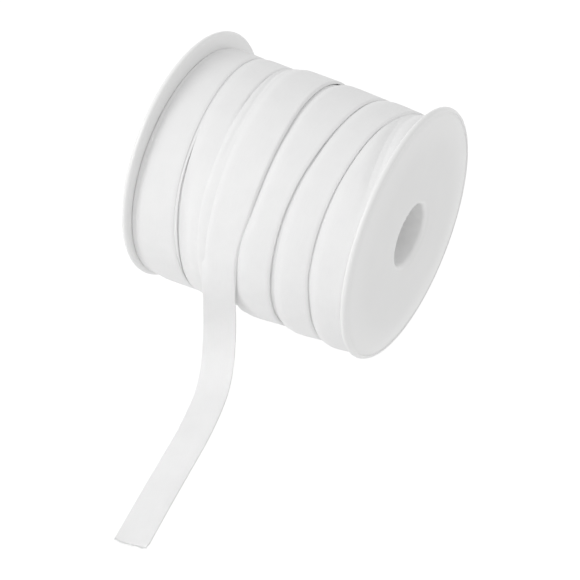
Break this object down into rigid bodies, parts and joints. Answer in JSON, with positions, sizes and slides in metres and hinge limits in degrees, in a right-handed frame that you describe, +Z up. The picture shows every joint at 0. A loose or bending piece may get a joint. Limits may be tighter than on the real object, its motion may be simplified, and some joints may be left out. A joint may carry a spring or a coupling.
{
  "type": "roll of bias tape on a plastic spool",
  "caption": "Wide flanged spool with a through bore, wound full of folded bias tape, lying on its rims with the end of the tape hanging down and lying out in front.",
  "frame": {"origin": "centre of the whole part's footprint, at the height of the surface it lies on", "axes": "+X along the spool's axis, -Y towards the loose end, +Z up"},
  "size_m": [0.0864, 0.1716, 0.0877],
  "materials": {
    "spool": "smooth moulded white plastic with a soft shine",
    "tape": "matt white cotton, plain weave cut on the bias"
  },
  "bodies": {
    "root": {"spool_left": "spool", "spool_right": "spool", "winding": "tape", "loose_end": "tape"}
  },
  "joints": []
}
